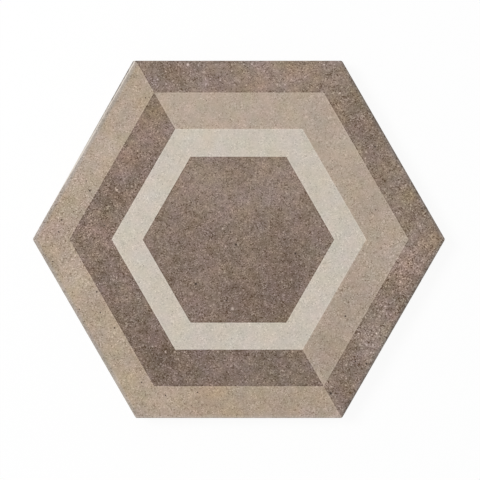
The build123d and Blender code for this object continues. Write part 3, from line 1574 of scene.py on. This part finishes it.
@dataclass(frozen=True)
class FiredBack(Finish):
    """The unglazed back: pale wash rubbed on the ribs, and painted shade that darkens the floor of the
    recesses.

    The wash thins out between the two heights of rib_ends, in millimetres above the foot.
    """

    form: TileForm
    label: str = "fired_back"
    body: Body = Body()
    wash: tuple[int, int, int] = (222, 216, 206)
    roughness: float = 0.82
    specular: float = 0.25
    bump_strength: float = 0.8
    bump_depth: float = 0.08 * MM
    uneven_shine: float = 0.05
    grain: ClassVar[Mapping[str, float]] = {"Fine": 0.12, "Medium": 0.1, "Coarse": 0.1, "Cloud": 0.12}
    specks: ClassVar[Mapping[str, float]] = {"Spacing": 2.2, "Radius": 0.3, "Chance": 0.4}
    speck_cover: float = 0.45
    floor_from: float = 0.1
    floor_shade: float = -0.1
    wash_size: float = 17.0
    wash_ends: tuple[float, float] = (-0.25, 0.45)
    wash_cover: tuple[float, float] = (0.15, 0.75)
    rib_ends: tuple[float, float] = (0.02, 0.2)
    least_wash: float = 0.15

    def skin(self, sheet: NodeSheet, position: Socket) -> Skin:
        """Adds grain and cloudy wash, by the height above the feet of the ribs.

        Args:
            sheet: Where the nodes go.
            position: The place on the tile in millimetres.

        Returns:
            What the shader takes.
        """
        grain = sheet.place(StoneGrain(), {"Position": position, **self.grain})
        specks = sheet.place(Pinholes("3D"), {"Position": position, **self.specks})["Mask"]
        height_mm = sheet.dot(position, (0.0, 0.0, 1.0))
        # Painted shade: the floor of the recesses darkens with depth.
        deep = sheet.ramp(height_mm, self.floor_from, self.form.key_depth / MM, 0.0, self.floor_shade)
        tone = sheet.math("ADD", sheet.math("ADD", grain["Tone"], deep), 1.0)
        colour = sheet.scaled(linear(self.body.colour)[:3], tone)
        cloud = sheet.noise(position, self.wash_size, 4.0, 0.6)
        rubbed = sheet.ramp(cloud, *self.wash_ends, *self.wash_cover)
        foot = sheet.ramp(height_mm, *self.rib_ends, 1.0, self.least_wash)
        colour = sheet.mix(sheet.math("MULTIPLY", rubbed, foot), colour, linear(self.wash))
        share = sheet.math("MULTIPLY", specks, self.speck_cover)
        colour = sheet.mix(share, colour, linear(self.body.speck))
        roughness = sheet.math("MULTIPLY_ADD", grain["Height"], self.uneven_shine, self.roughness)
        return Skin(colour, roughness, grain["Height"])


# Studio


@dataclass(frozen=True)
class Studio:
    """A plain pale floor, soft light and a camera that looks straight down on the tile."""

    face_height: float
    floor_reach: float = 1.5
    floor_shadow: float = 0.1
    floor_colour: tuple[float, float, float, float] = (0.97, 0.97, 0.97, 1.0)
    white: tuple[float, float, float, float] = (1.0, 1.0, 1.0, 1.0)
    sky: float = 0.6
    key_from: tuple[float, float, float] = (-1.0, 0.36, 1.15)
    key_width: float = 0.7
    key_power: float = 12.4
    lens: float = 100.0
    sensor: float = 36.0
    frame_px: float = 480.0
    px_per_mm: float = 1.966
    tile_px: tuple[float, float] = (238.4, 238.85)

    def floor(self) -> None:
        """The floor, which the camera sees as white with a faint shadow."""
        mesh = bpy.data.meshes.new("floor")
        reach = self.floor_reach
        corners = [(-reach, -reach, 0), (reach, -reach, 0), (reach, reach, 0), (-reach, reach, 0)]
        mesh.from_pydata(corners, [], [(0, 1, 2, 3)])
        floor = bpy.data.objects.new("floor", mesh)
        bpy.context.scene.collection.objects.link(floor)
        made = bpy.data.materials.new("pale_floor")
        made.use_nodes = True
        sheet = NodeSheet(made.node_tree)
        made.node_tree.nodes.remove(made.node_tree.nodes["Principled BSDF"])
        lit = sheet.node("ShaderNodeBsdfDiffuse", {"Color": self.floor_colour})
        white = sheet.node("ShaderNodeEmission", {"Color": self.white, "Strength": 1.0})
        share = sheet.math("MULTIPLY", self.seen(sheet), 1 - self.floor_shadow)
        blend = sheet.node("ShaderNodeMixShader", {0: share, 1: lit.outputs[0], 2: white.outputs[0]})
        sheet.feed(made.node_tree.nodes["Material Output"], {"Surface": blend.outputs[0]})
        mesh.materials.append(made)

    def seen(self, sheet: NodeSheet) -> Socket:
        """1 for what the camera sees, itself or in a gloss, and 0 for the light that falls on things.

        Args:
            sheet: Where the nodes go.

        Returns:
            The socket of the value.
        """
        path = sheet.node("ShaderNodeLightPath", {})
        seen = sheet.math("MAXIMUM", path.outputs["Is Camera Ray"], path.outputs["Is Glossy Ray"])
        return sheet.math("MAXIMUM", seen, path.outputs["Is Transmission Ray"])

    def light(self) -> None:
        """The soft light of the room, and one large lamp from the upper left."""
        bpy.context.scene.view_settings.view_transform = "Standard"
        world = bpy.data.worlds.new("studio")
        world.use_nodes = True
        bpy.context.scene.world = world
        sheet = NodeSheet(world.node_tree)
        strength = sheet.math("MULTIPLY_ADD", self.seen(sheet), 1 - self.sky, self.sky)
        sheet.feed(world.node_tree.nodes["Background"], {"Color": self.white, "Strength": strength})
        lamp = bpy.data.lights.new("key", "AREA")
        lamp.shape = "DISK"
        lamp.size = self.key_width
        lamp.energy = self.key_power
        key = bpy.data.objects.new("key", lamp)
        key.location = self.key_from
        key.rotation_mode = "QUATERNION"
        key.rotation_quaternion = (-Vector(self.key_from)).to_track_quat("-Z", "Y")
        bpy.context.scene.collection.objects.link(key)

    def camera(self) -> None:
        """The camera, above the tile, placed so that the tile falls where the photograph has it."""
        data = bpy.data.cameras.new("camera")
        data.lens = self.lens
        data.sensor_width = self.sensor
        field_width = self.frame_px / self.px_per_mm * MM
        distance = field_width * self.lens / self.sensor
        middle = (self.frame_px - 1) / 2
        x = (middle - self.tile_px[0]) / self.px_per_mm * MM
        y = (self.tile_px[1] - middle) / self.px_per_mm * MM
        camera = bpy.data.objects.new("camera", data)
        camera.location = (x, y, self.face_height + distance)
        bpy.context.scene.collection.objects.link(camera)
        bpy.context.scene.camera = camera


# Pits, marks and shades


# The pits that the photograph shows, by x, y and radius in millimetres from the centre of the face.
SEEN_PITS = (
    (-1.5, -2.7, 0.6), (28.8, -7.2, 0.6), (-21.9, -22.7, 0.68), (46.7, -78.4, 0.68), (64.9, -63.2, 0.55),
    (54.2, -39.1, 0.48), (93.2, 15.8, 0.42), (69.3, 47.1, 0.45), (69.5, 15.0, 0.32), (-61.4, 70.3, 0.28),
    (-47.4, 72.0, 0.32), (-75.8, 24.8, 0.5), (-77.6, 29.7, 0.34), (-90.1, 9.8, 0.42), (-91.7, 3.8, 0.42),
    (-94.7, -11.3, 0.36), (-72.3, -26.7, 0.45), (-81.2, -35.7, 0.36), (-70.4, -37.2, 0.4),
    (-63.2, -45.0, 0.4), (-68.4, 7.0, 0.45), (-6.3, -31.1, 0.42), (-21.1, -77.9, 0.42),
    (-37.3, -79.4, 0.38), (-49.5, -72.8, 0.38), (59.3, -62.1, 0.42),
)


@dataclass(frozen=True)
class Firing:
    """Leaves the pits: those that show, and smaller ones by chance, clear of each other and of the lines."""

    form: TileForm
    pattern: PrintPattern
    seen_depth: float = 0.26 * MM
    count: int = 150
    spread: float = 1.15
    edge_gap: float = 3 * MM
    line_gap: float = 1.2 * MM
    pit_gap: float = 3 * MM
    radius: tuple[float, float] = (0.14, 0.24)
    depth: tuple[float, float] = (0.06, 0.12)

    def is_clear(self, spot: Points, pits: Sequence[Pit]) -> bool:
        """Whether a pit fits there.

        Args:
            spot: A place in plan.
            pits: The pits that are there already.

        Returns:
            True if it is inside the face and clear of the lines and of the other pits.
        """
        reach = hexagon_reach(spot[None, :])[0]
        lines = np.array([self.pattern.centre, self.pattern.cream, self.pattern.middle])
        if reach > self.form.apothem - self.edge_gap or abs(lines - reach).min() < self.line_gap:
            return False
        if abs(spot @ SPLIT_NORMAL) < self.line_gap:
            return False
        return min(np.linalg.norm(spot - pit.place) for pit in pits) >= self.pit_gap

    def pits(self, rng: np.random.Generator) -> list[Pit]:
        """All pits of the face, with that source of chance.

        Args:
            rng: The source of all chance.

        Returns:
            The pits that show, and then the smaller ones.
        """
        pits = [Pit(x * MM, y * MM, radius * MM, self.seen_depth) for x, y, radius in SEEN_PITS]
        while len(pits) < self.count:
            spot = rng.uniform(-1, 1, 2) * self.form.apothem * self.spread
            if self.is_clear(spot, pits):
                pits.append(Pit(*spot, rng.uniform(*self.radius) * MM, rng.uniform(*self.depth) * MM))
        return pits


def grain(amount: float, medium: float = 0.1, coarse: float = 0.62, cloud: float = 0.35) -> dict[str, float]:
    """The strengths of the four sizes of grain, the larger ones as shares of the finest."""
    return {"Fine": amount, "Medium": medium * amount, "Coarse": coarse * amount, "Cloud": cloud * amount}


CENTRE_MARKS = Marks(
    clouds=patches(
        (-20, 29, 17, 12), (22, 31, 16, 13), (1, 12, 11, 7), (24, -27, 19, -12), (2, -34, 14, -9),
        (22, -9, 13, -6), (-33, -12, 14, -2), (-22, -32, 9, 2)),
    reds=patches((-30, 28, 8, 2), (-18, -34, 8, 1.5), (38, -8, 6, -2)),
    yellows=patches(
        (-24, 34, 9, 2.5), (3, 39, 5, 4), (-40, 18, 7, 2), (28, -28, 10, -2.5), (20, 13, 8, 2.5),
        (0, -26, 16, -1.5), (4, 24, 9, -1.5)),
    flecks=patches((-3.3, -35.4, 0.8, 95), (-8.4, 5.5, 0.5, 100)),
)
TAUPE_MARKS = Marks(
    clouds=patches((0, 66, 30, 3), (54, 48, 10, 8), (67, 7, 12, -3), (56, -31, 22, -7), (46, -60, 12, -10)),
    yellows=patches((57, 27, 7, 3), (62, -18, 8, -2), (-20, 64, 9, -1.5)),
)
UMBER_MARKS = Marks(
    clouds=patches(
        (-46, 55, 13, 15), (-58, 38, 9, 9), (-61, 20, 8, -5), (-75, 8, 9, 6), (-70, -13, 9, -5),
        (-58, -34, 9, 2), (-50, -46, 9, -8), (-38, -62, 11, -15), (-12, -64, 9, 3), (16, -64, 12, -5),
        (36, -66, 7, 3)),
    reds=patches(
        (-47, 53, 10, 2.5), (-58, 42, 9, 2.5), (-73, 3, 9, 1.8), (20, -64, 14, -2), (-40, -64, 9, -1.5)),
    yellows=patches((-42, 64, 8, 4), (-72, 8, 9, 2.5), (-20, -64, 22, -3), (-64, -20, 9, -2)),
    flecks=patches(
        (-62.7, 26.0, 0.45, 90), (-62.2, 25.1, 0.6, 140), (-60.9, 24.0, 0.4, 80), (-37.3, -57.0, 0.5, 80),
        (-43.9, -54.5, 0.5, 75), (-26.1, -64.2, 0.45, 65), (22.2, -66.7, 0.45, 65)),
)
SAND_MARKS = Marks(
    clouds=patches(
        (-63, 47, 14, 4), (-95, 3, 12, -8), (-94, 18, 8, -5), (-97, -14, 6, -6), (-80, -20, 10, 6),
        (-65, -46, 9, 5), (-38, -82, 8, 5), (-17, -84, 7, -6), (0, -87, 12, -7), (24, -84, 16, -4)),
    reds=patches((-97, 4, 8, 2.5), (-20, -86, 20, 1.5), (-75, 28, 9, -1.5)),
    yellows=patches((-52, 78, 8, 3.5), (-58, -68, 12, 3), (-10, -84, 18, 3), (-98, 0, 8, -2)),
    worn=patches(
        (-30, -91, 34, 0.35), (25, -91, 34, 0.3), (-56, 88, 18, 0.4), (-68, 68, 14, 0.4),
        (-79, 49, 13, 0.8), (-87, 35, 10, 0.5), (-95, 19, 9, 0.3)),
)
BORDER_MARKS = Marks(
    clouds=patches(
        (-34, 83, 14, -11), (14, 83, 20, 10), (60, 58, 9, -8), (57, 73, 8, -7), (80, 38, 9, 5),
        (90, 15, 6, -8), (98, 0, 7, 12), (87, -12, 7, 9), (80, -31, 7, -9), (69, -52, 8, 9),
        (57, -67, 9, -9), (53, -82, 7, -9)),
    reds=patches(
        (12, 82, 8, 2), (29, 83, 8, 2), (84, -17, 10, 3), (96, -2, 8, 2.5), (68, -50, 9, -2),
        (60, 70, 7, -1.5)),
    yellows=patches((57, 76, 9, 3), (85, 20, 6, 4), (100, 0, 6, 4), (54, -62, 9, -4), (-25, 83, 12, -2)),
    flecks=patches((-25.9, 88.9, 0.65, 120), (70.0, -47.9, 0.5, 80), (-9.4, 80.8, 0.45, 65)),
)
SHADES: Mapping[Zone, Mapping[str, object]] = {
    Zone.CENTRE: dict(
        colour=(130, 112, 99), grain=grain(0.66), patchy=0.75, warm=0.09, olive=0.21, line=-0.18,
        fleck_chance=0.28, fleck_tone=0.7, marks=CENTRE_MARKS),
    Zone.CREAM: dict(
        colour=(201, 191, 178), grain=grain(0.17, coarse=0.4), patchy=1.2, warm=0.07, olive=0.1, line=0.08,
        pinhole_chance=0.01, fleck_chance=0.03, fleck_tone=0.12),
    Zone.TAUPE: dict(
        colour=(176, 159, 143), grain=grain(0.27, coarse=0.38), patchy=1.3, warm=0.09, olive=0.12, line=0.1,
        pinhole_chance=0.05, fleck_chance=0.04, fleck_tone=0.2, marks=TAUPE_MARKS),
    Zone.UMBER: dict(
        colour=(125, 107, 94), grain=grain(0.83), patchy=0.9, warm=0.12, olive=0.26, line=-0.18,
        marks=UMBER_MARKS),
    Zone.SAND: dict(
        colour=(173, 155, 137), grain=grain(0.37, coarse=0.35), patchy=0.8, warm=0.1, olive=0.17, line=0.1,
        pinhole_chance=0.2, fleck_chance=0.05, fleck_tone=0.25, margin_tone=-0.02, margin_pale=0.42,
        marks=SAND_MARKS),
    Zone.BORDER: dict(
        colour=(138, 120, 106), grain=grain(0.72), patchy=1.0, warm=0.11, olive=0.27, line=-0.18,
        marks=BORDER_MARKS),
}


def make_finishes(form: TileForm, pattern: PrintPattern) -> dict[Zone, Finish]:
    """The finish of each zone of the tile.

    Args:
        form: The sizes of the tile.
        pattern: The lines of the print.

    Returns:
        The finishes by zone.
    """
    shades = {zone: PrintedShade("print_" + zone.name.lower(), form, pattern, **looks)
              for zone, looks in SHADES.items()}
    return {**shades, Zone.SIDE: FiredSide(form), Zone.BACK: FiredBack(form)}


def main() -> None:
    """Builds the tile, its finishes and the studio."""
    logging.basicConfig(level=logging.INFO, format="%(message)s")
    form = TileForm.of_node("tile")
    pattern = PrintPattern()
    studio = Studio(face_height=form.thickness)
    studio.camera()
    studio.light()
    studio.floor()
    pits = Firing(form, pattern).pits(np.random.default_rng(SEED + 1))
    builder = TileMesh(form, pattern, PrintedFace(form, pattern, pits), PressedSide(form), KeyedBack(form))
    tile = builder.build()
    finishes = make_finishes(form, pattern)
    for zone in Zone:
        tile.data.materials.append(finishes[zone].material())
    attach(tile, "root")
    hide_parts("tile")
    logging.info("%s: %d faces, %d finishes", tile.name, len(tile.data.polygons), len(tile.data.materials))


if __name__ == "__main__":
    main()
